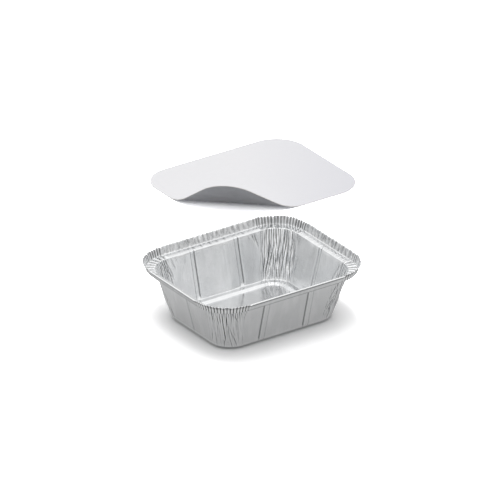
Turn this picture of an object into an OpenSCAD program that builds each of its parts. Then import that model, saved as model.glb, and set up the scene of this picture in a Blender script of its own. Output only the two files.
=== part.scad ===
// Foil food container with an upstanding pleated rim, and its board lid laid beside it.
// Millimetres, +Z up. The origin is the middle of the tray's foot, on the table.

/* [Tray] */
// Length over the rim
rim_l = 145; // [130:1:220]
// Width over the rim
rim_w = 120; // [105:1:180]
// Corner radius of the rim, seen from above
rim_r = 28.5; // [25:0.5:34]
// Height from the foot to the top of the lip
tray_h = 46; // [36:0.5:70]
// Thickness of the foil wall as modelled
foil_t = 0.3; // [0.2:0.05:0.4]

/* [Rim] */
// Height of the upstanding lip above the flange
lip_h = 6.5; // [4:0.5:9]
// Outward lean of the lip from its foot to its top
lip_flare = 2.2; // [1:0.1:3]
// Height of the rolled hem along the lip's top edge
hem_h = 1.2; // [0.8:0.1:2]
// How far the hem stands out from the lip's face
hem_t = 0.5; // [0.3:0.1:0.8]
// Height of the hem's rounded top
hem_round = 0.3; // [0.1:0.05:0.4]
// Width of the flat flange between the well and the lip
flange_w = 6.9; // [5:0.1:9]
// Width of the flat top of the raised strip along each straight of the flange
strip_w = 3.6; // [2:0.1:4.5]
// Height of the raised strip above the flange
strip_h = 0.5; // [0.2:0.1:0.8]
// Length of the slope at each end of a strip
strip_end = 1.5; // [0.5:0.1:3]

/* [Well] */
// How far each wall leans in from the flange down to the base
draft = 9.4; // [6:0.1:12]
// Corner radius of the walls where they meet the base
base_r = 17.5; // [12:0.5:22]
// Width of the ledge round the base
ledge_w = 4.5; // [3:0.1:6]
// Height of the ledge above the table
ledge_h = 2; // [1:0.1:3]
// Run of the slope from the ledge down to the foot
step_run = 2.4; // [1.5:0.1:3]
// Corner radius of the foot
foot_r = 10.5; // [6:0.5:14]

/* [Ribs] */
// Width of a stiffening rib in the walls
rib_w = 5; // [3:0.1:7]
// How far a rib bulges outward
rib_d = 0.8; // [0.4:0.1:1.2]
// Distance between the two ribs of a long wall
rib_pitch = 40; // [20:1:56]
// Height over which a rib rises from the wall at its lower end
rib_run = 3; // [2:0.5:5]

/* [Pleats] */
// Number of pleats round each corner
pleats = 17; // [12:1:18]
// Depth of the pleats in the lip
lip_pleat = 0.9; // [0.4:0.1:1.2]
// Depth of the pleats in the flange
flange_pleat = 0.5; // [0.2:0.1:0.8]
// Depth of the wrinkles in the corner walls
wall_pleat = 1.2; // [0.4:0.1:1.6]
// Drop of the lip's edge in each of its pleats
edge_pleat = 0.4; // [0:0.1:0.8]

/* [Lid] */
// Thickness of the lid board
lid_t = 0.5; // [0.4:0.05:0.8]
// Clearance between the lid's edge and the foot of the lip
lid_gap = 0.3; // [0.2:0.1:1]
// Distance from the lid's curled corner to its fold, along the long edge
fold_x = 79; // [50:1:95]
// Distance from the lid's curled corner to its fold, along the short edge
fold_y = 72; // [45:1:85]
// Radius of the curl, on the underside
curl_r = 20; // [12:0.5:30]
// Angle to which the corner curls up
curl_angle = 52; // [30:1:80]

/* [Lid place] */
// Distance between the centres of tray and lid along the length
lid_x = 132; // [0:1:200]
// Free space on the table between tray and lid along the width
lid_apart = 74; // [20:1:120]

/* [Hidden] */

// Where rings lie between the base and the flange, and between the lip's foot and its top
wall_levels = [0.36, 0.68];
lip_level = 0.45;

// Share of the full pleat depth near the base and near the flange, of the edge's drop at the
// hem's foot, and of a rib's bulge at the flange's edge
low_pleat = 0.35;
high_pleat = 0.8;
hem_drop = 0.6;
rib_end = 0.4;

// Pleats reach their full depth this many stations from a corner's ends. Their depths run
// unevenly between 0.4 and 1 of the full one, by angles per station, quarter and ring
pleat_start = 3;
depth_mean = 0.7;
depth_swing = 0.3;
depth_angles = [97, 51, 19];

// Heights and insets of the foil's middle surface; an inset is measured in from the rim's outline
foot_z = foil_t / 2;
ledge_z = ledge_h + foil_t / 2;
flange_z = tray_h - lip_h - foil_t / 2;
lip_lean = atan(lip_flare / lip_h);
lip_in = (hem_t + foil_t / 2) * cos(lip_lean);
lip_foot_in = lip_in + lip_flare;
well_in = lip_foot_in + flange_w;
base_in = well_in + draft;
ledge_in = base_in + ledge_w;
foot_in = ledge_in + step_run;
well_r = rim_r - well_in;
strip_side = (flange_w - strip_w) / 2;

function mix(a, b, t) = a + (b - a) * t;
function unit(v) = v / norm(v);

// A ring of the middle surface: inset, height, corner radius,
// then the shares of rib, strip and edge wave, and the pleat depth
function wall_ring(t, rib, pleat) =
    [mix(base_in, well_in, t), mix(ledge_z, flange_z, t), mix(base_r, well_r, t), rib, 0, 0, pleat];
function flange_ring(inset, strip) =
    [inset, flange_z, rim_r - inset, 0, strip, 0, flange_pleat];
function lip_ring(t, edge) =
    [mix(lip_foot_in, lip_in, t), mix(flange_z, tray_h - hem_round, t),
     rim_r - mix(lip_foot_in, lip_in, t), 0, 0, edge, lip_pleat];

wall_h = flange_z - ledge_z;
RINGS = [
    [foot_in, foot_z, foot_r, 0, 0, 0, 0],
    [ledge_in, ledge_z, foot_r + step_run, 0, 0, 0, 0],
    [base_in, ledge_z, base_r, 0, 0, 0, 0],
    wall_ring(rib_run / wall_h, 1, low_pleat * wall_pleat),
    for (t = wall_levels) wall_ring(t, 1, wall_pleat),
    wall_ring(1 - rib_run / wall_h / 2, 1, high_pleat * wall_pleat),
    [well_in, flange_z, well_r, rib_end, 0, 0, flange_pleat],
    flange_ring(well_in - strip_side, 1),
    flange_ring(lip_foot_in + strip_side, 1),
    flange_ring(lip_foot_in, 0),
    lip_ring(lip_level, 0),
    lip_ring(1 - hem_h / lip_h, hem_drop),
    lip_ring(1, 1)
];
last = len(RINGS) - 1;

// Direction across the foil at a ring, as [outward, up], pointing to the underside
function path(k) = [-RINGS[k][0], RINGS[k][1]];
function across(d) = [d.y, -d.x];
function before(k) = k == 0 ? [0, -1] : across(unit(path(k) - path(k - 1)));
function after(k) = k == last ? before(k) : across(unit(path(k + 1) - path(k)));
function mitre(k) = let (m = unit(before(k) + after(k))) m / (m * before(k));

// Stations round the tray, anticlockwise, a side and then its corner: [quarter, kind, place, rib]
// On a side the place runs along it; near an end it is counted back from the corner
// A rib's points: place as a share of its width, and whether it bulges there
rib_points = [[-0.5, 0], [-0.25, 1], [0.25, 1], [0.5, 0]];
short_ribs = [0];
long_ribs = [-rib_pitch / 2, rib_pitch / 2];
corner_n = 2 * pleats;
STATIONS = [
    for (q = [0 : 3]) each [
        [q, "start", 0, 0],
        for (c = q % 2 == 0 ? short_ribs : long_ribs, p = rib_points)
            [q, "side", c + p[0] * rib_w, p[1]],
        [q, "end", 0, 0],
        for (i = [0 : corner_n]) [q, "corner", i, 0]
    ]
];
count = len(STATIONS);

function quarter(q, v) = q == 0 ? v : quarter(q - 1, [-v.y, v.x]);
function half_along(q, k) = (q % 2 == 0 ? rim_w : rim_l) / 2 - RINGS[k][0] - RINGS[k][2];
function half_across(q, k) = (q % 2 == 0 ? rim_l : rim_w) / 2 - RINGS[k][0];
function corner_turn(s) = 90 * s[2] / corner_n;

// Where a station lies on a ring, and which way is outward there
function place(s, k) =
    let (a = half_along(s[0], k), b = half_across(s[0], k), r = RINGS[k][2])
    quarter(s[0],
        s[1] == "start" ? [b, strip_end - a] :
        s[1] == "end" ? [b, a - strip_end] :
        s[1] == "side" ? [b, s[2]] :
        [b - r + r * cos(corner_turn(s)), a + r * sin(corner_turn(s))]);
function outward(s) =
    quarter(s[0], s[1] == "corner" ? [cos(corner_turn(s)), sin(corner_turn(s))] : [1, 0]);

// Every other station of a corner folds in; pleats die away at both ends and vary in depth
function fold_side(s) = s[2] % 2 == 0 ? 0 : -1;
function fade(s) = min(1, s[2] / pleat_start, (corner_n - s[2]) / pleat_start);
function uneven(s, k) = depth_mean + depth_swing * sin([s[2], s[0], k] * depth_angles);
function wave(s, k) = s[1] == "corner" ? fold_side(s) * fade(s) * uneven(s, k) : 0;

// How far a station stands out of the ring, towards the underside
function on_strip(s) = s[1] == "corner" ? 0 : 1;
function relief(s, k) =
    RINGS[k][3] * rib_d * s[3]
    - RINGS[k][4] * strip_h * on_strip(s)
    + RINGS[k][6] * wave(s, k);
function lift(s, k) = RINGS[k][5] * edge_pleat * wave(s, k);

// A point off a ring: depth across the foil, from the middle surface towards the underside
function spot(s, k, depth, rise) =
    let (m = mitre(k), h = m.x * (depth + relief(s, k)), p = place(s, k) + h * outward(s))
    [p.x, p.y, RINGS[k][1] + m.y * (depth + relief(s, k)) + lift(s, k) + rise];

// The foil's section, from the middle of the well over the rim to the middle of the foot:
// ring, depth across the foil, and rise of the hem's rounded top
SECTION = [
    for (k = [0 : last]) [k, -foil_t / 2, 0],
    [last, hem_t / 2, hem_round + hem_t / 2 * sin(lip_lean)],
    [last, foil_t / 2 + hem_t, 0],
    [last - 1, foil_t / 2 + hem_t, 0],
    for (k = [last - 1 : -1 : 0]) [k, foil_t / 2, 0]
];
rows = len(SECTION);

function band(j) = [
    for (i = [0 : count - 1])
        let (a = j * count + i, b = j * count + (i + 1) % count)
        each [[a, b, b + count], [a, b + count, a + count]]
];
function cap(j, middle, turned) = [
    for (i = [0 : count - 1])
        let (a = j * count + i, b = j * count + (i + 1) % count)
        turned ? [middle, a, b] : [middle, b, a]
];

module tray() {
    skin = [for (c = SECTION) for (s = STATIONS) spot(s, c[0], c[1], c[2])];
    well_middle = len(skin);
    middles = [[0, 0, foil_t], [0, 0, 0]];
    color("silver")
        polyhedron(
            points = concat(skin, middles),
            faces = concat(
                [for (j = [0 : rows - 2]) each band(j)],
                cap(0, well_middle, false),
                cap(rows - 1, well_middle + 1, true)
            )
        );
}

// The lid fits inside the lip. Its rulings run along the fold of its curled corner:
// s is the distance past the fold, towards that corner, and q the distance along it
lid_l = rim_l - 2 * (lip_foot_in + lid_gap);
lid_w = rim_w - 2 * (lip_foot_in + lid_gap);
lid_r = rim_r - lip_foot_in - lid_gap;
lid_y = rim_w / 2 + lid_apart + lid_w / 2;
lid_rows = 72;

// The lid's mesh stops this short of the two outermost points of its outline, and a point of
// its edge is found by halving this many times
tip = 0.02;
halvings = 26;

toward = -unit([fold_y, fold_x]);
along = [-toward.y, toward.x];
fold_point = [fold_x - lid_l / 2, -lid_w / 2];
function flat_point(s, q) = fold_point + s * toward + q * along;

// Negative inside the lid's outline
function outside(p) =
    let (x = abs(p.x) - lid_l / 2 + lid_r, y = abs(p.y) - lid_w / 2 + lid_r)
    norm([max(x, 0), max(y, 0)]) + min(max(x, y), 0) - lid_r;

// The outline's nearest and farthest points across the fold, and a line between them
function far_point(side) =
    [side * sign(toward.x) * (lid_l / 2 - lid_r), side * sign(toward.y) * (lid_w / 2 - lid_r)]
    + side * lid_r * toward;
function past_fold(p) = (p - fold_point) * toward;
first_s = past_fold(far_point(-1)) + tip;
last_s = past_fold(far_point(1)) - tip;
function middle_q(s) =
    let (a = far_point(-1), b = far_point(1), t = (s - past_fold(a)) / (past_fold(b) - past_fold(a)))
    (mix(a, b, t) - fold_point) * along;
function edge_q(s, inner, outer, left = halvings) =
    let (m = (inner + outer) / 2)
    left == 0 ? inner :
    outside(flat_point(s, m)) < 0 ? edge_q(s, m, outer, left - 1) : edge_q(s, inner, m, left - 1);

// A point of the sheet: over its curl it leaves the table, and depth runs to its upper face
curl_length = curl_r * curl_angle * PI / 180;
function curl_turn(s) = max(0, min(s, curl_length)) / curl_r * 180 / PI;
function sheet_point(s, q, depth) =
    let (
        a = curl_turn(s),
        rest = s < 0 ? s : max(0, s - curl_length),
        h = curl_r * sin(a) + rest * cos(a) - depth * sin(a),
        v = curl_r * (1 - cos(a)) + rest * sin(a) + depth * cos(a),
        p = flat_point(h, q)
    )
    [p.x, p.y, v];

module lid() {
    reach = lid_l + lid_w;
    levels = [for (i = [0 : lid_rows]) mix(first_s, last_s, (1 - cos(180 * i / lid_rows)) / 2)];
    sheet = [
        for (s = levels)
            let (m = middle_q(s), q1 = edge_q(s, m, m - reach), q2 = edge_q(s, m, m + reach))
            each [
                sheet_point(s, q1, 0), sheet_point(s, q2, 0),
                sheet_point(s, q2, lid_t), sheet_point(s, q1, lid_t)
            ]
    ];
    n = 4 * lid_rows;
    sides = [
        for (i = [0 : lid_rows - 1], c = [0 : 3])
            let (a = 4 * i + c, b = 4 * i + (c + 1) % 4)
            each [[a, b + 4, b], [a, a + 4, b + 4]]
    ];
    color("white")
        translate([lid_x, lid_y, 0])
            polyhedron(
                points = sheet,
                faces = concat(sides, [[0, 1, 2], [0, 2, 3], [n + 2, n + 1, n], [n + 3, n + 2, n]])
            );
}

tray();
lid();
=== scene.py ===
# Foil food container with a pleated rim, and its board lid laid on the table behind it.
# Sizes of the pieces are in millimetres, and every mesh is made in metres. The origin is the
# middle of the tray's foot, +Z is up, and the long sides of the tray face -Y and +Y.
import math

import bpy
import numpy as np
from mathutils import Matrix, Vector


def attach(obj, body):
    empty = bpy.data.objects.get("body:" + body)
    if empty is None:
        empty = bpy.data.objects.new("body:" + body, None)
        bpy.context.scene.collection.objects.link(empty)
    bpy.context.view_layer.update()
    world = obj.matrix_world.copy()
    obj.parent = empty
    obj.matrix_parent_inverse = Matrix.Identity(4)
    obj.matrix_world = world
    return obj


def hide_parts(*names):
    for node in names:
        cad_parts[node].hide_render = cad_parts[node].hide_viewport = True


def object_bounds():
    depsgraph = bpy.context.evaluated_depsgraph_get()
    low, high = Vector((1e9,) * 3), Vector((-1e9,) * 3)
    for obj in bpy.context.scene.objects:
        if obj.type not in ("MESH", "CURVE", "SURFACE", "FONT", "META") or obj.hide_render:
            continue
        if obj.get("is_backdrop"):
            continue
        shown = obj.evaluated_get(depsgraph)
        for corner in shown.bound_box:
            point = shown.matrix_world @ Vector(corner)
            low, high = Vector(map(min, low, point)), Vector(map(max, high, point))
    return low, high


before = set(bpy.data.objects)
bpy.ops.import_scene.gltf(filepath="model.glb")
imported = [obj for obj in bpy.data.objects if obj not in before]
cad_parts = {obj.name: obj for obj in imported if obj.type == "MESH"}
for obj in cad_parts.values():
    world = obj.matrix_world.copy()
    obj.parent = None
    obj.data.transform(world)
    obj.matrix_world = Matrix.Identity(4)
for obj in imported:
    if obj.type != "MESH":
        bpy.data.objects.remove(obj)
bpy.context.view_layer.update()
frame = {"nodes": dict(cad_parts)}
mm = 0.001
print("frame loaded:", ", ".join(frame["nodes"]))


# Camera

photoView = {
    "azimuth": -34.461,      # degrees, 0 looks along +Y
    "elevation": 26.188,     # degrees above the table
    "distance": 7.5286,      # metres from the tray's foot
    "right": -0.00136,       # metres, sideways from the line to the foot
    "up": 0.04954,           # metres, upwards in the picture
    "lens": 720,
    "sensor": 36,
}


def makeCamera(view):
    az, el = math.radians(view["azimuth"]), math.radians(view["elevation"])
    back = np.array([math.sin(az) * math.cos(el), -math.cos(az) * math.cos(el), math.sin(el)])
    right = np.array([math.cos(az), math.sin(az), 0])
    up = np.cross(back, right)
    data = bpy.data.cameras.new("photoCamera")
    data.lens, data.sensor_width = view["lens"], view["sensor"]
    data.clip_start, data.clip_end = 0.1, 100
    camera = bpy.data.objects.new("photoCamera", data)
    bpy.context.collection.objects.link(camera)
    place = back * view["distance"] + right * view["right"] + up * view["up"]
    camera.matrix_world = [(*right, 0), (*up, 0), (*back, 0), (*place, 1)]
    bpy.context.scene.camera = camera


makeCamera(photoView)


# Mesh helpers

def newPiece(name, points, faces, materials, node, materialOf=None):
    mesh = bpy.data.meshes.new(name)
    mesh.from_pydata((np.asarray(points) * mm).tolist(), [], faces)
    for material in materials:
        mesh.materials.append(material)
    if materialOf is not None:
        mesh.polygons.foreach_set("material_index", materialOf)
    mesh.shade_smooth()
    piece = bpy.data.objects.new(name, mesh)
    bpy.context.collection.objects.link(piece)
    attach(piece, "root")
    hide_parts(node)
    print(name, len(mesh.polygons), "faces")
    return piece


def keepMask(piece, name, values):
    mask = piece.data.attributes.new(name, "FLOAT", "POINT")
    mask.data.foreach_set("value", np.asarray(values, dtype=np.float32))


def spread(stops, pitch):
    # Places along a line that keep every stop and lie no further apart than the pitch
    runs = []
    for a, b in zip(stops, stops[1:]):
        runs.extend(np.linspace(a, b, max(1, math.ceil((b - a) / pitch)), endpoint=False))
    return runs + [stops[-1]]


def ramp(value, start, end):
    return np.clip((value - start) / (end - start), 0, 1)


def softRamp(value, start, end):
    t = ramp(value, start, end)
    return t * t * (3 - 2 * t)


def foldWave(phase, share=1.0):
    # 0 at whole numbers and 1 halfway, with straight flanks over that share of the wave
    return np.clip(1 - np.abs(2 * (phase - np.floor(phase)) - 1) / share, 0, 1)


# Node helpers

def newMaterial(name):
    material = bpy.data.materials.new(name)
    material.use_nodes = True
    return material, material.node_tree.nodes, material.node_tree.links


def newFinish(name):
    # A material with its shader, and the place of each point on the piece
    material, nodes, links = newMaterial(name)
    where = nodes.new("ShaderNodeTexCoord").outputs["Object"]
    return material, nodes, links, nodes["Principled BSDF"], where


def newGroup(name, inputs, outputs):
    tree = bpy.data.node_groups.new(name, "ShaderNodeTree")
    for label, kind, value in inputs:
        socket = tree.interface.new_socket(label, in_out="INPUT", socket_type=kind)
        if value is not None:
            socket.default_value = value
    for label in outputs:
        tree.interface.new_socket(label, in_out="OUTPUT", socket_type="NodeSocketFloat")
    return tree, tree.nodes.new("NodeGroupInput"), tree.nodes.new("NodeGroupOutput")


def mathNode(nodes, links, operation, first, second, clamp=False):
    node = nodes.new("ShaderNodeMath")
    node.operation, node.use_clamp = operation, clamp
    for socket, value in zip(node.inputs, (first, second)):
        if isinstance(value, (int, float)):
            socket.default_value = value
        else:
            links.new(value, socket)
    return node.outputs[0]


def mapRange(nodes, links, value, low, high, newLow, newHigh):
    node = nodes.new("ShaderNodeMapRange")
    links.new(value, node.inputs["Value"])
    ends = {"From Min": low, "From Max": high, "To Min": newLow, "To Max": newHigh}
    for label, number in ends.items():
        node.inputs[label].default_value = number
    return node.outputs["Result"]


def readMask(nodes, name):
    # A mask kept on the mesh's points
    node = nodes.new("ShaderNodeAttribute")
    node.attribute_name = name
    return node.outputs["Fac"]


def blend(nodes, links, factor, first, second):
    # From the first colour at 0 to the second at 1; each is a plain tone or comes from a node
    node = nodes.new("ShaderNodeMix")
    node.data_type = "RGBA"
    links.new(factor, node.inputs["Factor"])
    for label, colour in (("A", first), ("B", second)):
        if isinstance(colour, tuple):
            node.inputs[label].default_value = (*colour, 1)
        else:
            links.new(colour, node.inputs[label])
    return node.outputs["Result"]


def addNoise(nodes, links, vector, scale, detail):
    node = nodes.new("ShaderNodeTexNoise")
    node.inputs["Detail"].default_value = detail
    links.new(vector, node.inputs["Vector"])
    links.new(scale, node.inputs["Scale"])
    return node.outputs["Fac"]


# Surface effects that several finishes share

def makeRolledGrain():
    # Fine lines such as the mill leaves along the sheet, over a soft mottle; both come out from 0 to 1. The
    # foil also uses them for its painted shade streaks and painted sheen
    tree, start, end = newGroup(
        "linesAndMottle",
        [("Vector", "NodeSocketVector", None), ("Squeeze", "NodeSocketVector", (0.04, 1.0, 1.0)),
         ("Line Scale", "NodeSocketFloat", 1500.0), ("Mottle Scale", "NodeSocketFloat", 90.0)],
        ["Lines", "Mottle"])
    nodes, links = tree.nodes, tree.links
    squeeze = nodes.new("ShaderNodeVectorMath")
    squeeze.operation = "MULTIPLY"
    links.new(start.outputs["Squeeze"], squeeze.inputs[1])
    links.new(start.outputs["Vector"], squeeze.inputs[0])
    lines = addNoise(nodes, links, squeeze.outputs[0], start.outputs["Line Scale"], 2)
    mottle = addNoise(nodes, links, start.outputs["Vector"], start.outputs["Mottle Scale"], 4)
    links.new(lines, end.inputs["Lines"])
    links.new(mottle, end.inputs["Mottle"])
    return tree


def makeHandling():
    # The faint dints and rubbed spots that thin sheet gets when it is handled
    tree, start, end = newGroup(
        "handling",
        [("Vector", "NodeSocketVector", None), ("Dint Scale", "NodeSocketFloat", 260.0),
         ("Patch Scale", "NodeSocketFloat", 35.0)],
        ["Dints", "Rubbed"])
    nodes, links = tree.nodes, tree.links
    patches = addNoise(nodes, links, start.outputs["Vector"], start.outputs["Patch Scale"], 3)
    cells = nodes.new("ShaderNodeTexVoronoi")
    cells.feature = "SMOOTH_F1"
    links.new(start.outputs["Vector"], cells.inputs["Vector"])
    links.new(start.outputs["Dint Scale"], cells.inputs["Scale"])
    dint = mapRange(nodes, links, cells.outputs["Distance"], 0.1, 0.7, 0.0, 1.0)
    where = mapRange(nodes, links, patches, 0.45, 0.65, 0.0, 1.0)
    links.new(mathNode(nodes, links, "MULTIPLY", dint, where), end.inputs["Dints"])
    links.new(where, end.inputs["Rubbed"])
    return tree


linesAndMottle = makeRolledGrain()
handling = makeHandling()


def placeGroup(nodes, links, tree, vector, values):
    node = nodes.new("ShaderNodeGroup")
    node.node_tree = tree
    links.new(vector, node.inputs["Vector"])
    for label, value in values.items():
        node.inputs[label].default_value = value
    return node


def addBump(nodes, links, height, size, below=None):
    # The size is the bump's strength and its height in millimetres
    bump = nodes.new("ShaderNodeBump")
    bump.inputs["Strength"].default_value = size[0]
    bump.inputs["Distance"].default_value = size[1] * mm
    links.new(height, bump.inputs["Height"])
    if below is not None:
        links.new(below, bump.inputs["Normal"])
    return bump.outputs["Normal"]


# Finishes

foilFinish = {
    "dark": (0.764, 0.772, 0.779), "light": (0.864, 0.872, 0.879),  # the plain foil's mottle
    "lineShare": 0.45, "mottleShare": 0.55,
    "sheen": (0.914, 0.921, 0.928), "sheenShare": 0.6, "sheenBand": (0.5, 0.66),
    # Painted shade: darker streaks where the foil is crumpled
    "streakShade": (0.395, 0.402, 0.409), "streakShare": 0.85, "streakBand": (0.5, 0.68),
    # Painted shade in grooves and in the places that are given painted shade
    "grooveShade": (0.138, 0.141, 0.145), "grooveShare": 0.9,
    # Painted highlight on ridges, the bead's top, the wall's foot and the dimples
    "ridgeHighlight": (0.98, 0.99, 0.995),
    "rough": (0.15, 0.24),
    # The sheet's own grain, the painted shade streaks where it is crumpled, and the broad bands of its
    # painted sheen
    "grain": {"Squeeze": (1.0, 1.0, 0.06), "Line Scale": 1500.0, "Mottle Scale": 120.0},
    "upright": {"Squeeze": (1.0, 1.0, 0.16), "Line Scale": 620.0, "Mottle Scale": 300.0},
    "broad": {"Squeeze": (1.0, 1.0, 0.12), "Line Scale": 140.0, "Mottle Scale": 60.0},
    "marks": {"Dint Scale": 150.0, "Patch Scale": 42.0},
    "mottleBump": (0.14, 0.4), "dintBump": (0.10, 0.3), "grainBump": (0.15, 0.03),
}


def makeFoil(name, look):
    material, nodes, links, shader, where = newFinish(name)
    shader.inputs["Metallic"].default_value = 1.0
    grain = placeGroup(nodes, links, linesAndMottle, where, look["grain"])
    marks = placeGroup(nodes, links, handling, where, look["marks"])
    upright = placeGroup(nodes, links, linesAndMottle, where, look["upright"])
    broad = placeGroup(nodes, links, linesAndMottle, where, look["broad"])
    lines = mathNode(nodes, links, "MULTIPLY", grain.outputs["Lines"], look["lineShare"])
    mottle = mathNode(nodes, links, "MULTIPLY", grain.outputs["Mottle"], look["mottleShare"])
    tone = mathNode(nodes, links, "ADD", lines, mottle)
    plain = blend(nodes, links, tone, look["dark"], look["light"])
    sheen = mapRange(nodes, links, broad.outputs["Lines"], *look["sheenBand"], 0.0, look["sheenShare"])
    plain = blend(nodes, links, sheen, plain, look["sheen"])
    # Painted shade streaks, darker where the foil is crumpled in the corners and along the lips
    streakShade = mapRange(nodes, links, upright.outputs["Lines"], *look["streakBand"], 0.0, look["streakShare"])
    streakShade = mathNode(nodes, links, "MULTIPLY", streakShade, readMask(nodes, "crumpleShade"))
    streakShaded = blend(nodes, links, streakShade, plain, look["streakShade"])
    # Painted highlights on the ridges and other bright places
    lit = blend(nodes, links, readMask(nodes, "ridgeHighlight"), streakShaded, look["ridgeHighlight"])
    # Painted shade: darker in the grooves and in the places given painted shade
    depth = mathNode(nodes, links, "MULTIPLY", readMask(nodes, "grooveShade"), look["grooveShare"], clamp=True)
    links.new(blend(nodes, links, depth, lit, look["grooveShade"]), shader.inputs["Base Color"])
    links.new(mapRange(nodes, links, marks.outputs["Rubbed"], 0.0, 1.0, *look["rough"]),
              shader.inputs["Roughness"])
    normal = addBump(nodes, links, grain.outputs["Mottle"], look["mottleBump"])
    normal = addBump(nodes, links, marks.outputs["Dints"], look["dintBump"], normal)
    normal = addBump(nodes, links, grain.outputs["Lines"], look["grainBump"], normal)
    links.new(normal, shader.inputs["Normal"])
    return material


boardFinish = {
    "white": (0.752, 0.75, 0.764),
    "shade": (0.722, 0.72, 0.736),
    "fallingShade": (0.655, 0.655, 0.69),  # painted shade, towards the corner furthest right in the picture
    "rough": 0.55,
    "fibre": {"Line Scale": 900.0, "Mottle Scale": 260.0},
    "bump": (0.12, 0.04),
}


def makeWhiteBoard(name, look):
    material, nodes, links, shader, where = newFinish(name)
    shader.inputs["Roughness"].default_value = look["rough"]
    fibre = placeGroup(nodes, links, linesAndMottle, where, look["fibre"])
    mottled = blend(nodes, links, fibre.outputs["Mottle"], look["shade"], look["white"])
    # Painted shade: the board darkens towards its right corner
    links.new(blend(nodes, links, readMask(nodes, "fallingShade"), mottled, look["fallingShade"]),
              shader.inputs["Base Color"])
    links.new(addBump(nodes, links, fibre.outputs["Lines"], look["bump"]), shader.inputs["Normal"])
    return material


laminateFinish = {
    "dark": (0.33, 0.336, 0.358),
    "light": (0.398, 0.404, 0.428),
    "metal": 0.55,
    "rough": (0.42, 0.52),
    "grain": {"Line Scale": 1400.0, "Mottle Scale": 150.0},
    "marks": {"Dint Scale": 120.0, "Patch Scale": 30.0},
    "bump": (0.15, 0.03),
}


def makeLaminate(name, look):
    # The grey foil-faced underside of the board
    material, nodes, links, shader, where = newFinish(name)
    shader.inputs["Metallic"].default_value = look["metal"]
    grain = placeGroup(nodes, links, linesAndMottle, where, look["grain"])
    marks = placeGroup(nodes, links, handling, where, look["marks"])
    links.new(blend(nodes, links, grain.outputs["Mottle"], look["dark"], look["light"]),
              shader.inputs["Base Color"])
    links.new(mapRange(nodes, links, marks.outputs["Rubbed"], 0.0, 1.0, *look["rough"]),
              shader.inputs["Roughness"])
    links.new(addBump(nodes, links, grain.outputs["Lines"], look["bump"]), shader.inputs["Normal"])
    return material


edgeFinish = {
    "dark": (0.52, 0.51, 0.49),
    "light": (0.74, 0.73, 0.71),
    "rough": 0.85,
    "fibre": {"Line Scale": 3000.0, "Mottle Scale": 900.0},
    "bump": (0.3, 0.05),
}


def makeCutEdge(name, look):
    # The board's cut edge, with its layers of fibre
    material, nodes, links, shader, where = newFinish(name)
    shader.inputs["Roughness"].default_value = look["rough"]
    fibre = placeGroup(nodes, links, linesAndMottle, where, look["fibre"])
    links.new(blend(nodes, links, fibre.outputs["Mottle"], look["dark"], look["light"]),
              shader.inputs["Base Color"])
    links.new(addBump(nodes, links, fibre.outputs["Lines"], look["bump"]), shader.inputs["Normal"])
    return material


foil = makeFoil("foil", foilFinish)
whiteBoard = makeWhiteBoard("whiteBoard", boardFinish)
laminate = makeLaminate("laminate", laminateFinish)
cutEdge = makeCutEdge("cutEdge", edgeFinish)
print("finishes made")


# Tray

traySize = {
    "length": 145, "width": 120, "height": 46, "cornerRadius": 28.5,
    "foil": 0.16,
    "lipHeight": 6.5, "lipFlare": 2.2, "hemThick": 0.5,
    "flange": 6.9, "stripSide": 0.9, "stripSlope": 0.75, "stripHeight": 0.75, "stripEnd": 1.6,
    "draft": 9.4, "baseRadius": 17.5, "ledge": 4.5, "ledgeHeight": 2, "stepRun": 2.4,
    "footRadius": 10.5,
    "ribWidth": 5, "ribSlope": 0.9, "ribDepth": 0.8, "ribPitch": 40, "ribRun": 3,
    "cadFoil": 0.3,          # the solid's wall, which sets where the middle surface lies
}

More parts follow.
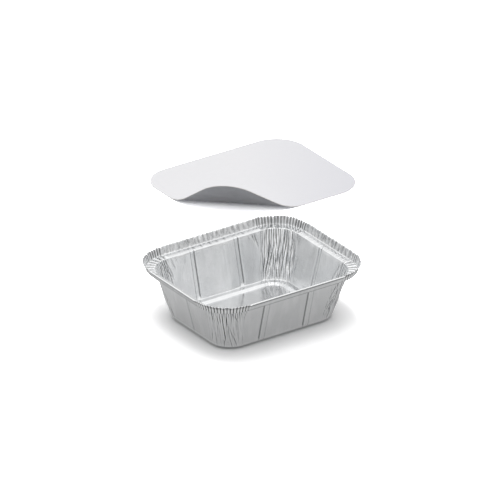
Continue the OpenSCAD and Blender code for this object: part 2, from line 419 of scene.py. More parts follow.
# Four values are for the walls in the order far right, far left, near left and near right, or
# for the corners in the order far, left, near and right
trayDetail = {
    # Mesh
    "pleats": 17,            # in each corner
    "pleatSteps": 8,         # stations in each pleat
    "pitch": 0.95,           # widest step along the straights
    "bends": (0.5, 0.5, 0.7, 0.5, 0.7, 0),  # how far each bend of the section is rounded
    "rowSteps": (3, 4, 16, 8, 8),  # rows from bend to bend
    "endRun": 9,             # end of a side, in which stations shift from ring to ring
    "hemTurns": (0, 316, 35),  # degrees round the bead: from, to and step

    # Pleats: least and most depth and share of a pleat, drawn for more pleats than there are
    "pleatDepth": (0.55, 1.0), "pleatShare": (0.45, 0.85), "pleatDraws": 64, "drawsBefore": 16,
    "lipPleat": 0.85, "wallPleat": 0.8,
    "flangePleat": (0.22, 0.55, 0.8, 0.8),  # these run in pairs
    "edgeDrop": 0.9, "edgeUneven": 0.35,
    "bead": 0.75, "beadRise": 0.25,  # radius of the rolled hem, and its top above the lip
    "cornerBead": 0.35,      # share of the bead that is left round the corners

    # Folds across a corner: how many, their depth, changes up the wall, and slant
    "folds": ((9, 0.9, 7, 13), (12, 0.8, 7, -11), (23, 0.5, 7, 4), (46, 0.2, 9, 0)),
    "cornerFolds": (1.0, 0.9, 0.4, 0.8),
    "foldSpan": 26,          # from a corner's middle to where its folds end, along the rim
    # The second value here is where the painted crumple shade starts to fade out
    "foldFade": 9, "crumpleShadeFrom": 16,
    "stray": 0.42, "leastFold": 0.15,

    # Unevenness: ripples round the whole lip, and waves round the walls with their turns and climb
    "ripples": 210, "lipRipple": (0.55, 0.45, 0.06, 0.06),
    "swell": 0.54, "swellEase": 4,
    "swellWaves": ((9, 0.5), (14, 1.2), (23, 0.8), (31, 1.7), (47, 1.1)),
    "stripRibs": (0.22, 0.03, 0.03, 0.03), "stripRibPitch": 2.4,
    "dents": (-28, -11, -4, 2, 10, 17),  # in the far left strip, from its middle
    "dentReach": 0.9, "dentDepth": 0.28, "dentShade": 0.35,
    "dotHeight": 0.65, "dotRadius": 1.5, "dotRows": 0.085,  # the dimple at the top of each rib, which also gets a painted highlight
    "panelRings": (0.93, 0.8, 0.62, 0.42, 0.2), "panelWave": 0.10,
    "panelLow": (0.18, 0.02),  # least height of the panel's top and underside

    # Painted shade in grooves and painted highlights on ridges
    "maskSpan": 0.8, "maskHops": 7, "grooveGain": 1.8, "ridgeGain": 1.2,
    "cornerGroove": 0.8, "flangeGroove": 0.7, "lipGroove": 0.55, "outerGroove": 0.7,
    "innerRib": (1.0, 0.35),  # painted groove shade along the two sides of a rib, inside
    "outerRib": ((0.35, 1.0), (0.35, 1.0), (0.25, 0.3), (1.0, 0.35)),
    # Painted shade of crumple streaks along each lip
    "lipCrumpleShade": (1.0, 0.85, 0.15, 0.1),

    # Painted shade
    "wallShade": (0.10, 0.0, 0.0, 0.0), "lipShade": (0.10, 0.0, 0.0, 0.0),
    "outerLipShade": (0.0, 0.0, 0.22, 0.0), "stripShade": (0.10, 0.30, 0.10, 0.10),
    "pleatShade": 0.12, "ledgeShade": 0.33, "panelShade": 0.36,
    # Painted shade lines under the bead and along the lip's foot
    "hemShade": 0.95, "lipFootShade": 0.6,

    # Painted highlights
    "beadShine": 0.8, "footEdgeHighlight": 0.6, "cornerEdgeHighlight": 0.7,
    "wallSheen": (1.0, -8, 11),  # of the far left wall: amount, middle and half width
    "sheenRipple": (0.7, 0.3, 1.9),

    "seed": 7,
}

# Bends of the section, in order from the foot to the top of the lip
footBend, ledgeBend, wallFoot, flangeEdge, lipFoot, lipTop = range(6)


def sectionKnots(t):
    # Inset from the outline, height and corner radius at each bend of the foil's middle surface
    half = t["cadFoil"] / 2
    lean = math.atan2(t["lipFlare"], t["lipHeight"])
    lipIn = (t["hemThick"] + half) * math.cos(lean)
    lipFootIn = lipIn + t["lipFlare"]
    wellIn = lipFootIn + t["flange"]
    baseIn = wellIn + t["draft"]
    ledgeIn = baseIn + t["ledge"]
    ledgeZ = t["ledgeHeight"] + half
    flangeZ = t["height"] - t["lipHeight"] - half
    rim = t["cornerRadius"]
    return np.array([
        [ledgeIn + t["stepRun"], half, t["footRadius"]],
        [ledgeIn, ledgeZ, t["footRadius"] + t["stepRun"]],
        [baseIn, ledgeZ, t["baseRadius"]],
        [wellIn, flangeZ, rim - wellIn],
        [lipFootIn, flangeZ, rim - lipFootIn],
        [lipIn, t["height"] - t["hemThick"] / 2, rim - lipIn],
    ])


def roundedSection(knots, bends, steps):
    # Points along the section, with each bend rounded, and where they lie counted in knots
    rows, place = [], []
    lengths = np.linalg.norm(np.diff(knots[:, :2], axis=0), axis=1)
    for k, length in enumerate(lengths):
        a, b = knots[k], knots[k + 1]
        start, end = bends[k] / length, 1 - bends[k + 1] / length
        for t in np.linspace(start, end, steps[k]):
            rows.append(a + (b - a) * t)
            place.append(k + t)
        if k + 1 < len(lengths):
            c = knots[k + 2]
            nextStart = bends[k + 1] / lengths[k + 1]
            p, q = rows[-1], b + (c - b) * nextStart
            for t in (1 / 3, 2 / 3):
                rows.append((1 - t) ** 2 * p + 2 * t * (1 - t) * b + t * t * q)
                place.append(k + end + (1 - end + nextStart) * t)
    return np.array(rows), np.array(place)


def makeStations(t, d):
    # Stations anticlockwise from the start of the side that faces +X: the quarter, whether in a
    # corner, the place along the side, the turn through the corner, and the way round the rim
    rows, way = [], 0.0
    slope, half = t["ribSlope"], t["ribWidth"] / 2
    cornerWay = math.pi / 2 * t["cornerRadius"]
    for q in range(4):
        side = (t["width"] if q % 2 == 0 else t["length"]) / 2 - t["cornerRadius"]
        ribs = [0] if q % 2 == 0 else [-t["ribPitch"] / 2, t["ribPitch"] / 2]
        stops = [-side, t["stripEnd"] - side]
        for c in ribs:
            stops += [c - half, c - half + slope, c + half - slope, c + half]
        stops += [side - t["stripEnd"], side]
        for x in spread(stops, d["pitch"])[1:-1]:
            rows.append((q, 0, x, 0, way + x + side))
        way += 2 * side
        count = d["pleats"] * d["pleatSteps"]
        for i in range(count + 1):
            rows.append((q, 1, 0, i / count, way + cornerWay * i / count))
        way += cornerWay
    return np.array(rows), way


def onRing(t, d, stations, inset, radius):
    # Where each station lies on a ring, and which way is outward there
    q, corner, x, turn = stations[:, 0], stations[:, 1], stations[:, 2], stations[:, 3]
    even = q % 2 == 0
    length, width = t["length"] / 2, t["width"] / 2
    across = np.where(even, length, width) - inset
    rimAlong = np.where(even, width, length) - t["cornerRadius"]
    along = np.where(even, width, length) - inset - radius
    held = rimAlong - d["endRun"]  # ribs keep their place, and the ends follow the ring
    shifted = np.sign(x) * (held + (np.abs(x) - held) * (along - held) / (rimAlong - held))
    x = np.where(np.abs(x) > held, shifted, x)
    angle = np.radians(90 * turn)
    onCorner = corner > 0
    px = np.where(onCorner, across - radius + radius * np.cos(angle), across)
    py = np.where(onCorner, along + radius * np.sin(angle), x)
    ox = np.where(onCorner, np.cos(angle), 1.0)
    oy = np.where(onCorner, np.sin(angle), 0.0)
    c, s = np.cos(np.radians(90 * q)), np.sin(np.radians(90 * q))
    return c * px - s * py, s * px + c * py, c * ox - s * oy, s * ox + c * oy


def fromCorner(t, way, total, corner):
    # Way round the rim from the middle of a corner, anticlockwise
    short, long = t["width"] - 2 * t["cornerRadius"], t["length"] - 2 * t["cornerRadius"]
    arc = math.pi / 2 * t["cornerRadius"]
    middle = sum((short if q % 2 == 0 else long) for q in range(corner + 1)) + arc * (corner + 0.5)
    return (way - middle + total / 2) % total - total / 2


def strayFolds(d, random, u, level, cells, span, keys, slant=0.0):
    # Sharp folds that run up a wall; their lines stray sideways and their depths change with height
    stray = random.uniform(-d["stray"], d["stray"], (keys, cells + 1)) * 2 * span / cells
    lines = np.linspace(-span, span, cells + 1) + stray
    sides = np.where(np.arange(cells + 1) % 2 == 0, 1, -1)
    heights = sides * random.uniform(d["leastFold"], 1, (keys, cells + 1))
    field = np.zeros((len(u), len(level)))
    for column, height in enumerate(np.clip(level, 0, 1) * (keys - 1)):
        k = min(int(height), keys - 2)
        f = height - k
        line = lines[k] * (1 - f) + lines[k + 1] * f
        across = u + slant * (level[column] - 0.5)
        field[:, column] = np.interp(across, line, heights[k] * (1 - f) + heights[k + 1] * f)
    return field


# Single creases: corner, then way from its middle and height (0 at the ledge, 1 at the flange)
# at both ends, half width and depth in millimetres; a minus stands into the well
trayCreases = [
    (0, 33, 0.98, 29, 0.80, 0.8, 0.5), (0, 36, 0.97, 31, 0.86, 0.7, -0.4),
    (0, 30, 0.98, 27, 0.72, 0.9, 0.5), (0, -27, 0.97, -25, 0.80, 0.8, 0.4),
    (0, 3, 0.30, -1, 0.04, 1.6, -0.8), (0, 5, 0.55, 1, 0.10, 1.0, 0.6),
    (0, 7.5, 0.62, 12.5, 0.16, 0.8, 1.1), (0, 5.0, 0.88, 3.0, 0.62, 0.7, 0.9),
    (0, 14, 0.50, 17, 0.20, 1.8, -0.9), (0, -7, 0.60, -4.5, 0.30, 0.8, 0.8),
    (0, -13, 0.45, -15, 0.12, 0.8, 0.7), (0, -17, 0.85, -14, 0.55, 0.8, 0.7),
    (1, -30, 0.96, -35, 0.86, 0.8, 0.45), (1, -34, 0.97, -41, 0.88, 0.7, -0.35),
    (1, -27, 0.98, -29, 0.75, 0.9, 0.5), (1, -13.5, 0.98, -24, 0.58, 0.9, 0.8),
    (1, -21.5, 0.98, -24.5, 0.60, 0.8, 0.6), (1, -5.5, 0.97, -21.5, 0.68, 0.9, 0.8),
    (2, -27, 0.95, -25, 0.55, 0.8, 0.35), (2, 29, 0.95, 25, 0.70, 0.8, -0.35),
    (3, -25, 0.80, -16, 0.30, 0.9, 0.6), (3, -14, 0.75, -24, 0.25, 0.9, -0.6),
    (3, -18, 0.95, -20, 0.55, 0.8, 0.5), (3, 27, 0.90, 33, 0.55, 0.9, 0.35),
    (3, 26, 0.95, 24, 0.45, 0.8, -0.4), (3, -25.5, 0.50, -27.5, 0.10, 0.9, -0.7),
    (3, -21, 0.85, -24, 0.50, 0.9, -0.7),
    (2, -7.5, 0.84, -6.5, 0.60, 0.8, -0.6), (2, -4.5, 0.84, -3.6, 0.62, 0.7, -0.5),
    (2, -1.2, 0.84, -0.8, 0.60, 0.8, -0.7), (2, 3.8, 0.82, 3.4, 0.60, 0.8, -0.7),
    (2, -19.5, 0.88, -18.5, 0.66, 0.8, -0.5), (2, 13.5, 0.82, 16.5, 0.70, 0.8, -0.55),
    (2, -0.5, 0.56, 0.6, 0.22, 0.9, -0.8), (2, -1.0, 0.18, -1.8, 0.02, 0.8, -0.5),
    (2, 7.0, 0.50, 9.5, 0.25, 0.9, -0.45), (2, 9.0, 0.36, 14.0, 0.04, 0.9, -0.35),
    (2, 6.0, 0.25, 8.0, 0.02, 0.9, -0.35), (2, -17.0, 0.30, -18.5, 0.12, 0.9, -0.35),
]


def crease(u, h, line):
    u0, h0, u1, h1, width, depth = line
    du, dh = u1 - u0, h1 - h0
    t = ((u - u0) * du + (h - h0) * dh) / (du * du + dh * dh)
    off = np.abs((u - u0) * dh - (h - h0) * du) / math.hypot(du, dh)
    ends = ramp(t, -0.15, 0.2) * (1 - ramp(t, 0.8, 1.15))
    return depth * np.clip(1 - off / width, 0, 1) * ends


def trayPlaces(t, stations, total, place, knots):
    # Where each station and each row of the middle surface lies on the tray
    q, x, way = stations[:, 0].astype(int), stations[:, 2], stations[:, 4]
    side = np.where(q % 2 == 0, t["width"], t["length"]) / 2 - t["cornerRadius"]
    return {
        "q": q, "x": x, "way": way, "total": total, "straight": stations[:, 1] == 0,
        "toEnd": side - np.abs(x),
        "fromRib": np.where(q % 2 == 0, x, x - np.sign(x) * t["ribPitch"] / 2),
        "fromCorners": [fromCorner(t, way, total, corner) for corner in range(4)],
        "place": place, "level": place - wallFoot, "upLip": place - lipFoot,
        "acrossFlange": (place - flangeEdge) * t["flange"],
        "wallHeight": knots[flangeEdge, 1] - knots[wallFoot, 1],
    }


def wallRibs(t, p):
    rib = ramp(t["ribWidth"] / 2 - np.abs(p["fromRib"]), 0, t["ribSlope"]) * p["straight"]
    run = t["ribRun"] / p["wallHeight"]
    rows = np.interp(p["level"], [0, 1 - run / 2, 1.0, 1.22], [1, 1, 0.9, 0])
    return np.outer(rib, ramp(p["level"], 0.01, run) * rows) * t["ribDepth"]


def flangeStrips(t, d, p):
    # The raised strip along each straight, with its fine crosswise ribbing and its dents
    q, x, across = p["q"], p["x"], p["acrossFlange"]
    ends = ramp(p["toEnd"], 0, t["stripEnd"]) * p["straight"]
    low, high, slope = t["stripSide"], t["flange"] - t["stripSide"], t["stripSlope"]
    strip = ramp(across, low, low + slope) * (1 - ramp(across, high - slope, high))
    ribbing = foldWave(x / d["stripRibPitch"] + 0.15 * np.sin(x * 1.3)) * np.array(d["stripRibs"])[q]
    dents = sum(np.exp(-((x - c) / d["dentReach"]) ** 2) for c in d["dents"]) * (q == 1) * p["straight"]
    relief = d["dentDepth"] * np.outer(dents, strip * ramp(across, 1.5, 3.0))
    relief -= np.outer(ends * (t["stripHeight"] - ribbing), strip)
    # Painted shade on the strip and in its dents
    shade = np.outer(ends * np.array(d["stripShade"])[q] + d["dentShade"] * dents, strip)
    return relief, shade


def cornerPleats(t, d, p, corner, random):
    # A corner's pleats over lip and flange, and the folds and creases that run down its wall
    u, level, place, upLip = p["fromCorners"][corner], p["level"], p["place"], p["upLip"]
    pleatWay = math.pi / 2 * t["cornerRadius"] / d["pleats"]
    reach = math.pi / 4 * t["cornerRadius"]
    phase = u / pleatWay + 0.5 * d["pleats"]
    number = np.clip(np.floor(phase).astype(int) + d["drawsBefore"], 0, d["pleatDraws"] - 1)
    depths = random.uniform(*d["pleatDepth"], d["pleatDraws"])
    depth = depths[number]
    share = random.uniform(*d["pleatShare"], d["pleatDraws"])[number]
    fade = 1 - softRamp(np.abs(u), reach, reach + 1.6 * pleatWay)
    fold = foldWave(phase, share) * depth * fade
    pairs = foldWave(phase / 2, share) * depth * fade
    uneven = (depth - depths.mean()) / (np.ptp(d["pleatDepth"]) / 2) * d["edgeUneven"] * fade
    lipRows = np.interp(upLip, [-0.25, 0, 0.2, 1], [0, 0.55, 0.9, 1.0])
    flangeRows = np.interp(place, [flangeEdge, lipFoot - 0.4, lipFoot, lipFoot + 0.05], [0.6, 1, 1, 0])
    wallRows = np.interp(level, [0.6, 0.9, 1.0, 1.02], [0, 0.6, 1.0, 0])
    relief = np.outer(fold, wallRows * d["wallPleat"])
    relief -= np.outer(fold, lipRows) * d["lipPleat"]
    relief -= np.outer(pairs, flangeRows * (place > flangeEdge)) * d["flangePleat"][corner]
    drop = np.outer(fold * d["edgeDrop"] + uneven, ramp(upLip, 0.75, 1.0))

    span = d["foldSpan"]
    fade = 1 - softRamp(np.abs(u), span - d["foldFade"], span)
    rows = np.interp(level, [0, 0.05, 0.3, 0.8, 1.0, 1.08], [0.1, 0.45, 0.9, 1.0, 0.55, 0])
    rows = rows * (place < lipFoot - 0.6)
    folds = sum(deep * strayFolds(d, random, u, np.clip(level, 0, 1), cells, span + 6, keys, slant)
                for cells, deep, keys, slant in d["folds"])
    relief += d["cornerFolds"][corner] * folds * np.outer(fade, rows)
    height = np.clip(level, -1, 2) * p["wallHeight"]
    for where, u0, h0, u1, h1, width, deep in trayCreases:
        if where == corner:
            line = (u0, h0 * p["wallHeight"], u1, h1 * p["wallHeight"], width, deep)
            relief += crease(u[:, None], height[None, :], line) * (level > 0)
    return relief, drop


def trayRelief(t, d, p):
    # How far the foil stands out of its plain form, towards the underside; how far its edge
    # drops; and the painted shade and painted highlights that it gets by its place
    random = np.random.default_rng(d["seed"])
    q, x, straight, place = p["q"], p["x"], p["straight"], p["place"]
    onWall = ramp(p["level"], 0, 0.04) * (1 - ramp(p["level"], 0.97, 1.0))
    relief, shade = flangeStrips(t, d, p)
    relief += wallRibs(t, p)
    drop = np.zeros_like(relief)
    for corner in range(4):
        folded, dropped = cornerPleats(t, d, p, corner, random)
        relief += folded
        drop += dropped

    total = p["total"]
    ripple = strayFolds(d, random, p["way"] - total / 2, p["upLip"], d["ripples"], total / 2, 3)
    relief += ripple * np.outer(np.array(d["lipRipple"])[q] * straight, ramp(p["upLip"], 0, 0.15))
    for turns, climb in d["swellWaves"]:
        around = (p["way"] / total * turns)[:, None]
        angle = 2 * math.pi * (around + climb * p["level"] + random.uniform())
        relief += d["swell"] / (turns + d["swellEase"]) * np.sin(angle) * onWall
    dimple = np.exp(-(p["fromRib"] / d["dotRadius"]) ** 2) * straight
    dimple = np.outer(dimple, np.exp(-((place - flangeEdge) / d["dotRows"]) ** 2))
    relief -= d["dotHeight"] * dimple

    # Painted shade on the walls, lips, corner flanges and ledge
    shade += np.outer(np.array(d["wallShade"])[q] * straight, onWall)
    shade += np.outer(np.array(d["lipShade"])[q], ramp(p["upLip"], 0, 0.1))
    onFlange = ramp(place, flangeEdge, flangeEdge + 0.1) * (1 - ramp(place, lipFoot - 0.1, lipFoot))
    shade += d["pleatShade"] * np.outer(1 - straight, onFlange)
    ledge = [ledgeBend, ledgeBend + 0.2, wallFoot - 0.25, wallFoot - 0.1]
    shade += d["ledgeShade"] * np.interp(place, ledge, [0, 1, 1, 0])

    # Painted highlights: the dimples, a sheen on the far left wall, and the flange edge round the corners
    amount, middle, half = d["wallSheen"]
    plain, rippled, pace = d["sheenRipple"]
    sheen = np.exp(-((x - middle) / half) ** 2) * (plain + rippled * np.sin(x * pace + np.sin(x)))
    shine = dimple + amount * np.outer(sheen * (q == 1) * straight, onWall)
    shine += d["cornerEdgeHighlight"] * np.outer(1 - straight, np.exp(-((place - flangeEdge - 0.02) / 0.09) ** 2))
    return relief, drop, shade, shine


def foldDepths(rings, span, hops):
    # How sharply each point of the skin lies in a groove (above 0) or on a ridge (below 0) that
    # runs up the section: the turns along its ring in radians, gathered over that span
    before, after = rings - np.roll(rings, 1, 1), np.roll(rings, -1, 1) - rings
    facing = np.cross(np.gradient(rings, axis=0), before + after)
    bend = sum(sign * step / (np.linalg.norm(step, axis=2, keepdims=True) + 1e-9)
               for sign, step in ((1, after), (-1, before)))
    bend = (bend * facing).sum(2) / (np.linalg.norm(facing, axis=2) + 1e-9)
    gathered = bend.copy()
    for hop in range(1, hops + 1):
        for way in (hop, -hop):
            away = np.linalg.norm(np.roll(rings, way, 1) - rings, axis=2)
            gathered += np.roll(bend, way, 1) * np.clip(1 - away / span, 0, 1)
    return gathered


def panelRings(d, ring, least):
    # The foot's panel runs in from that ring to the middle, in shrinking rings
    random = np.random.default_rng(d["seed"] + 1)
    tilt = random.uniform(0, 2 * math.pi, 6)
    rings = []
    for share in d["panelRings"]:
        middle = ring[:, 2].mean()
        p = ring * [share, share, 1]
        p[:, 2] = middle + (ring[:, 2] - middle) * ramp(share, 0.8, 1)
        wave = sum(math.sin(tilt[i]) + np.sin(p[:, 0] / (9 + 3 * i) + p[:, 1] / (14 - i) + tilt[i])
                   for i in range(6)) / 6
        p[:, 2] += d["panelWave"] * wave * ramp(1 - share, 0, 0.15)
        p[:, 2] = np.maximum(p[:, 2], least)
        rings.append(p)
    return rings


# Kinds of ring in the tray's skin, from the panel's top to its underside
panelTop, insideWall, hem, outsideWall, panelUnder = range(5)


def trayMasks(d, p, rings, kinds, at, turns, shade, shine):
    # The painted shade in grooves, the painted highlight on ridges and the painted crumple shade of each
    # point; at is the ring's place in the section
    q, straight = p["q"], p["straight"]
    onPanel = (kinds == panelTop) | (kinds == panelUnder)
    after = (p["fromRib"] >= 0).astype(int)
    innerWeight = np.where(straight, np.array(d["innerRib"])[after], 1.0)
    outerWeight = np.where(straight, np.array(d["outerRib"])[q, after], 1.0)
    weights = np.where((kinds >= outsideWall)[:, None], outerWeight, innerWeight)
    depths = foldDepths(rings, d["maskSpan"], d["maskHops"]) * weights
    depths[onPanel] = 0

    onLip = ramp(at, lipFoot, lipFoot + 0.1)
    # Painted shade lines along the lip's foot and under the bead, and painted shade on the lip's outside
    outerShade = np.interp(at - lipFoot, [-0.12, 0, 0.07, 0.18, 0.5, 0.75],
                     [0, d["lipFootShade"], d["lipFootShade"], 0, 0, d["hemShade"]])[:, None]
    outerShade = outerShade + np.outer(onLip, np.array(d["outerLipShade"])[q]) * (1 - outerShade)
    # Painted shade by place: on the panel, inside, on the bead's lower side and outside
    shades = np.zeros(depths.shape)
    shades[kinds == panelTop] = d["panelShade"]
    shades[kinds == insideWall] = shade[:, :-1].T
    shades[kinds == hem] = d["hemShade"] * ramp(turns, 120, 170)[:, None]
    shades[kinds == outsideWall] = outerShade[kinds == outsideWall]

    inner = np.interp(at, [flangeEdge - 0.1, flangeEdge + 0.1, lipFoot, lipFoot + 0.15],
                      [d["cornerGroove"], d["flangeGroove"], d["flangeGroove"], d["lipGroove"]])
    outer = np.interp(at, [flangeEdge, lipFoot], [d["outerGroove"], d["lipGroove"]])
    shares = np.where(kinds == outsideWall, outer, inner)[:, None]
    # Painted shade in the grooves, added to the painted shade by place
    grooveShade = np.clip(depths * d["grooveGain"] * shares + shades, 0, 1)

    # Painted highlights on ridges, the bead's top and the wall's foot
    ridgeHighlight = np.clip(-depths * d["ridgeGain"], 0, 1)
    ridgeHighlight[kinds == insideWall] += shine[:, :-1].T
    ridgeHighlight[np.flatnonzero(kinds == hem)[1:4]] += d["beadShine"]
    ridgeHighlight[(kinds == outsideWall) & (np.abs(at - wallFoot) < 0.06)] += d["footEdgeHighlight"]

    # The painted crumple shade: strongest in the corners' folds and along the lips
    folded = sum(share / 2 * (1 - softRamp(np.abs(u), d["crumpleShadeFrom"], d["foldSpan"]))
                 for u, share in zip(p["fromCorners"], d["cornerFolds"]))
    crumpleShade = np.maximum(folded, np.outer(onLip, np.array(d["lipCrumpleShade"])[q]))
    crumpleShade[onPanel] = 0
    return {"grooveShade": grooveShade, "ridgeHighlight": ridgeHighlight, "crumpleShade": crumpleShade}


def closedSkin(rings):
    # A closed skin through those rings, with a point in the middle of each end
    n, count = rings.shape[:2]
    ends = [[0, 0, rings[0, :, 2].mean()], [0, 0, rings[-1, :, 2].mean()]]
    points = np.concatenate([rings.reshape(-1, 3), ends])
    i = np.arange(count)
    nextOne = (i + 1) % count
    faces = []
    for j in range(n - 1):
        a, b = j * count, (j + 1) * count
        faces += np.stack([a + i, a + nextOne, b + nextOne, b + i], 1).tolist()
    first, final, low = np.full(count, n * count), np.full(count, n * count + 1), (n - 1) * count
    faces += np.stack([i, nextOne, first], 1).tolist()
    faces += np.stack([low + nextOne, low + i, final], 1).tolist()
    return points, faces


def makeTray(t, d):
    knots = sectionKnots(t)
    section, place = roundedSection(knots, d["bends"], d["rowSteps"])
    stations, total = makeStations(t, d)
    p = trayPlaces(t, stations, total, place, knots)
    relief, drop, shade, shine = trayRelief(t, d, p)

    path = np.stack([-section[:, 0], section[:, 1]], 1)
    along = np.gradient(path, axis=0)
    along /= np.linalg.norm(along, axis=1)[:, None]
    across = np.stack([along[:, 1], -along[:, 0]], 1)

    def ring(k, depth, slip=0.0):
        # Depth is counted from the middle surface towards the underside, and slip up the section
        inset, radius = section[k, 0] - along[k, 0] * slip, section[k, 2] + along[k, 0] * slip
        px, py, ox, oy = onRing(t, d, stations, inset, radius)
        deep = depth + relief[:, k]
        px, py = px + ox * across[k, 0] * deep, py + oy * across[k, 0] * deep
        pz = section[k, 1] + along[k, 1] * slip + across[k, 1] * deep - drop[:, k]
        return np.stack([px, py, pz], 1)

    last, half = len(section) - 1, t["foil"] / 2
    # The hem is a rolled bead along the straights, and is pressed flat round the corners
    reach = math.pi / 4 * t["cornerRadius"]
    corner = sum(1 - softRamp(np.abs(u), reach - 1, reach + 2) for u in p["fromCorners"])
    bead = d["bead"] * (1 - (1 - d["cornerBead"]) * corner)
    turns = np.arange(*d["hemTurns"])
    inner = [ring(k, -half) for k in range(last)]
    rolled = []
    for angle in np.radians(turns):
        rise = d["beadRise"] + bead * (math.sin(angle) - 1)
        rolled.append(ring(last, bead * (1 - math.cos(angle)) - half, rise))
    outer = [ring(k, half) for k in range(last - 2, -1, -1)]
    top = panelRings(d, inner[0], d["panelLow"][0])[::-1]
    under = panelRings(d, outer[-1], d["panelLow"][1])
    rings = np.array(top + inner + rolled + outer + under)
    kinds = np.repeat(range(5), [len(part) for part in (top, inner, rolled, outer, under)])
    at = np.zeros(len(kinds))
    at[kinds == insideWall] = place[:last]
    at[kinds == hem] = lipTop
    at[kinds == outsideWall] = place[last - 2::-1]

    points, faces = closedSkin(rings)
    piece = newPiece("trayFoil", points, faces, [foil], "tray")
    for name, mask in trayMasks(d, p, rings, kinds, at, turns, shade, shine).items():
        keepMask(piece, name, np.append(mask.ravel(), [mask[0, 0], mask[-1, 0]]))
    piece.data.set_sharp_from_angle(angle=math.radians(24))


makeTray(traySize, trayDetail)


# Lid

lidSize = {
    "thick": 0.5, "gap": 0.3,
    "foldX": 79, "foldY": 72,  # from the curled corner to the fold, along its two edges
    "curlRadius": 20, "curlAngle": 52,
    "apartX": 132, "apartY": 74,  # the lid's middle, and its gap to the tray
    "rows": 150, "columns": 40,
    "endMargin": 0.004, "halvings": 30,  # how the sheet's outline is found along each ruling
    # Slow unevenness of the board: its height, waves, and where it fades by the fold and the edge
    "cockle": 0.12, "cockleWaves": (17, 31, 23, 0.6), "cockleFold": (0, 12), "cockleEdge": (3, 16),
    "shadeWay": (0.82, -0.57), "shadeSpan": (-10, 90),  # where the painted shade darkens the white
}


def makeLid(t, v):
    lean = math.atan2(t["lipFlare"], t["lipHeight"])
    inset = (t["hemThick"] + t["cadFoil"] / 2) * math.cos(lean) + t["lipFlare"] + v["gap"]
    length, width, radius = t["length"] - 2 * inset, t["width"] - 2 * inset, t["cornerRadius"] - inset
    middle = np.array([v["apartX"], t["width"] / 2 + v["apartY"] + width / 2])
    toward = -np.array([v["foldY"], v["foldX"]]) / math.hypot(v["foldY"], v["foldX"])
    along = np.array([-toward[1], toward[0]])
    foldPoint = np.array([v["foldX"] - length / 2, -width / 2])

    def outside(p):
        # How far a point lies beyond the flat sheet's outline; below 0 it is within
        x, y = np.abs(p[..., 0]) - length / 2 + radius, np.abs(p[..., 1]) - width / 2 + radius
        return np.hypot(np.maximum(x, 0), np.maximum(y, 0)) + np.minimum(np.maximum(x, y), 0) - radius

    def flat(s, q):
        # s is counted from the fold towards the curled corner, and q along the fold
        return foldPoint + s[..., None] * toward + q[..., None] * along

    def edge(s, q, reach):
        # The outline's place along a ruling, found by halving
        near, far = q.copy(), q + reach
        for _ in range(v["halvings"]):
            halfway = (near + far) / 2
            inside = outside(flat(s, halfway)) < 0
            near, far = np.where(inside, halfway, near), np.where(inside, far, halfway)
        return near

    rows, columns = v["rows"], v["columns"]
    ends = []  # where the first and the last ruling touch the outline
    for sign in (-1, 1):
        centre = np.sign(toward) * sign * (np.array([length, width]) / 2 - radius)
        ends.append(centre + sign * radius * toward - foldPoint)
    first, final = ends[0] @ toward + v["endMargin"], ends[1] @ toward - v["endMargin"]
    s = first + (final - first) * (1 - np.cos(np.linspace(0, math.pi, rows))) / 2
    share = (s - first) / (final - first)
    q = (ends[0] @ along) * (1 - share) + (ends[1] @ along) * share
    left, right = edge(s, q, -(length + width)), edge(s, q, length + width)
    rule = (1 - np.cos(np.linspace(0, math.pi, columns))) / 2
    q = left[:, None] + (right - left)[:, None] * rule
    s = np.repeat(s[:, None], columns, 1)

    curl = v["curlRadius"] * math.radians(v["curlAngle"])

    def bent(depth):
        # The sheet lies flat up to its fold, rolls over the curl and runs on straight
        a = np.clip(s, 0, curl) / v["curlRadius"]
        rest = np.where(s < 0, s, np.maximum(0, s - curl))
        h = v["curlRadius"] * np.sin(a) + rest * np.cos(a) - depth * np.sin(a)
        z = v["curlRadius"] * (1 - np.cos(a)) + rest * np.sin(a) + depth * np.cos(a)
        p = flat(h, q) + middle
        return np.concatenate([p, z[..., None]], 2).reshape(-1, 3)

    a, b, c, turn = v["cockleWaves"]
    cockle = v["cockle"] * (1 + np.sin(s / a + q / b) * np.sin(q / c - turn))
    cockle *= softRamp(-s, *v["cockleFold"]) * softRamp(-outside(flat(s, q)), *v["cockleEdge"])
    lower, upper = bent(0), bent(v["thick"])
    lower[:, 2] += cockle.reshape(-1)
    upper[:, 2] += cockle.reshape(-1)
    points = np.concatenate([lower, upper])
    n = rows * columns
    grid = np.arange(n).reshape(rows, columns)
    a, b = grid[:-1, :-1].ravel(), grid[:-1, 1:].ravel()
    c, e = grid[1:, 1:].ravel(), grid[1:, :-1].ravel()
    faces = np.stack([a, e, c, b], 1).tolist() + (np.stack([a, b, c, e], 1) + n).tolist()
    kinds = [1] * len(a) + [0] * len(a)  # laminate below, and white board above
    border = np.concatenate([grid[0, :], grid[1:, -1], grid[-1, -2::-1], grid[-2:0:-1, 0]])
    follow = np.roll(border, -1)
    faces += np.stack([border, follow, follow + n, border + n], 1).tolist()
    kinds += [2] * len(border)
    piece = newPiece("lidSheet", points, faces, [whiteBoard, laminate, cutEdge], "lid", kinds)
    # Painted shade over the board, growing towards its right corner
    keepMask(piece, "fallingShade", ramp((points[:, :2] - middle) @ np.array(v["shadeWay"]), *v["shadeSpan"]))
    piece.data.set_sharp_from_angle(angle=math.radians(40))


makeLid(traySize, lidSize)


# Table, light and surroundings

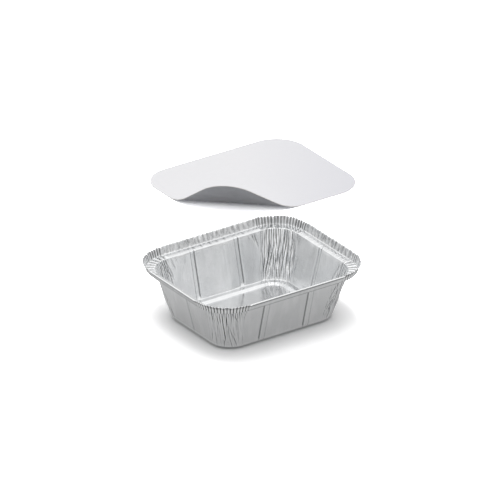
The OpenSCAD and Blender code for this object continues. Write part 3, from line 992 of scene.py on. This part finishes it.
# In metres, measured from the middle of the tray's foot
studio = {
    "table": 12,             # across
    "tableTone": 0.93, "tableMottle": 0.995,  # as light bounces off it
    "fibre": {"Line Scale": 60.0, "Mottle Scale": 8.0},
    "exposed": 1.36,         # the table as the camera sees it
    "contactReach": 0.022, "contactShadowTone": 0.52, "contactSamples": 8,  # painted contact shadow, close under the tray
    "washOutLight": 3.6, "openMiddle": (-0.012, -0.017, 0), "openReach": (0.08, 0.115),  # painted light away from it, which washes out the shadows there
    "mirrored": (0.66, 0.85), "mirroredReach": (0.14, 0.2),  # in the foil, by the tray and away: a painted shadow darkens it by the tray
    "glowShare": 0.5, "glowTone": 0.48,  # the part of those reflections that glows of itself, where no shadow reaches
    "sky": ((0.0, 0.47), (0.376, 0.97), (0.8, 1.12)),  # height and brightness, in the foil
    "fill": (0.05, 2.4), "fillPower": 3.0,  # the soft light on all else, level and from above
}

# Soft patches in the foil's surroundings: direction, width in degrees and added brightness
skyPatches = [((-0.1, 0.0, 1.0), 30, 0.2)]

# Name, place, width and height in metres, and power in watts; each faces the object
studioLights = [
    ("topPanel", (-0.25, 0.30, 1.1), 0.45, 0.25, 1.5),
    ("backPanel", (0.6, 1.2, 0.7), 0.5, 0.2, 1.3),
]


def grey(tone):
    return (tone,) * 3


def distanceFrom(nodes, links, where, place):
    node = nodes.new("ShaderNodeVectorMath")
    node.operation = "DISTANCE"
    links.new(where, node.inputs[0])
    node.inputs[1].default_value = place
    return node.outputs["Value"]


def makeTable(s):
    material, nodes, links = newMaterial("table")
    nodes.remove(nodes["Principled BSDF"])
    where = nodes.new("ShaderNodeTexCoord").outputs["Object"]
    path = nodes.new("ShaderNodeLightPath").outputs
    fibre = placeGroup(nodes, links, linesAndMottle, where, s["fibre"])
    dark, light = grey(s["tableTone"] * s["tableMottle"]), grey(s["tableTone"])
    plain = blend(nodes, links, fibre.outputs["Mottle"], dark, light)
    # Painted contact shadow for the camera, darker close under the tray
    contactShadow = nodes.new("ShaderNodeAmbientOcclusion")
    contactShadow.samples = s["contactSamples"]
    contactShadow.inputs["Distance"].default_value = s["contactReach"]
    dark, light = grey(s["exposed"] * s["contactShadowTone"]), grey(s["exposed"])
    exposed = blend(nodes, links, contactShadow.outputs["AO"], dark, light)
    # Painted light for the camera, which washes out the shadows away from the tray
    away = distanceFrom(nodes, links, where, s["openMiddle"])
    clear = mapRange(nodes, links, away, *s["openReach"], 0.0, 1.0)
    exposed = blend(nodes, links, clear, exposed, grey(s["washOutLight"]))
    seen = blend(nodes, links, path["Is Camera Ray"], plain, exposed)
    # The table as the foil reflects it, with a painted shadow by the tray
    away = distanceFrom(nodes, links, where, (0, 0, 0))
    far = mapRange(nodes, links, away, *s["mirroredReach"], 0.0, 1.0)
    mirrored = blend(nodes, links, far, *(grey(tone) for tone in s["mirrored"]))

    shaders = []
    for colour in (seen, mirrored):
        shader = nodes.new("ShaderNodeBsdfDiffuse")
        links.new(colour, shader.inputs["Color"])
        shaders.append(shader.outputs[0])
    # A share of those reflections glows of itself, so no shadow reaches it
    glow = nodes.new("ShaderNodeEmission")
    glow.inputs["Color"].default_value = (*grey(s["glowTone"]), 1)
    soft = nodes.new("ShaderNodeMixShader")
    soft.inputs["Fac"].default_value = s["glowShare"]
    mix = nodes.new("ShaderNodeMixShader")
    links.new(path["Is Glossy Ray"], mix.inputs["Fac"])
    for node, first, second in ((soft, shaders[1], glow.outputs[0]), (mix, shaders[0], soft.outputs[0])):
        links.new(first, node.inputs[1])
        links.new(second, node.inputs[2])
    links.new(mix.outputs[0], nodes["Material Output"].inputs["Surface"])

    mesh = bpy.data.meshes.new("table")
    half = s["table"] / 2
    corners = [(x * half, y * half, 0) for x, y in ((-1, -1), (1, -1), (1, 1), (-1, 1))]
    mesh.from_pydata(corners, [], [(0, 1, 2, 3)])
    mesh.materials.append(material)
    table = bpy.data.objects.new("table", mesh)
    bpy.context.collection.objects.link(table)
    table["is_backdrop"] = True


def makeLights(lights):
    low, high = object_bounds()
    target = (low + high) / 2
    for name, place, width, height, power in lights:
        data = bpy.data.lights.new(name, "AREA")
        data.shape, data.size, data.size_y, data.energy = "RECTANGLE", width, height, power
        light = bpy.data.objects.new(name, data)
        bpy.context.collection.objects.link(light)
        light.location = place
        light.rotation_euler = (target - light.location).to_track_quat("-Z", "Y").to_euler()
        light.visible_camera = light.visible_glossy = False


def makeSky(s, patches):
    world = bpy.data.worlds.new("studio")
    bpy.context.scene.world = world
    world.use_nodes = True
    nodes, links = world.node_tree.nodes, world.node_tree.links
    direction = nodes.new("ShaderNodeTexCoord").outputs["Generated"]
    split = nodes.new("ShaderNodeSeparateXYZ")
    links.new(direction, split.inputs[0])
    (low, first), (middle, second), (high, third) = s["sky"]
    lower = mapRange(nodes, links, split.outputs["Z"], low, middle, first, second)
    upper = mapRange(nodes, links, split.outputs["Z"], middle, high, 0.0, third - second)
    bright = mathNode(nodes, links, "ADD", lower, upper)
    for towards, width, added in patches:
        facing = nodes.new("ShaderNodeVectorMath")
        facing.operation = "DOT_PRODUCT"
        links.new(direction, facing.inputs[0])
        facing.inputs[1].default_value = np.array(towards) / np.linalg.norm(towards)
        edge, core = math.cos(math.radians(width)), math.cos(math.radians(width / 3))
        patch = mapRange(nodes, links, facing.outputs["Value"], edge, core, 0.0, added)
        patch.node.interpolation_type = "SMOOTHSTEP"
        bright = mathNode(nodes, links, "ADD", bright, patch)
    path = nodes.new("ShaderNodeLightPath").outputs
    steep = mathNode(nodes, links, "POWER", split.outputs["Z"], s["fillPower"], clamp=True)
    fill = mapRange(nodes, links, steep, 0.0, 1.0, *s["fill"])
    extra = mathNode(nodes, links, "SUBTRACT", bright, fill)
    mirrored = mathNode(nodes, links, "MULTIPLY", extra, path["Is Glossy Ray"])
    strength = mathNode(nodes, links, "ADD", mirrored, fill)
    strength = mathNode(nodes, links, "MAXIMUM", strength, path["Is Camera Ray"])
    links.new(strength, nodes["Background"].inputs["Strength"])
    nodes["Background"].inputs["Color"].default_value = (1, 1, 1, 1)


makeTable(studio)
makeLights(studioLights)
makeSky(studio, skyPatches)
bpy.context.scene.view_settings.view_transform = "Standard"
print("studio made")
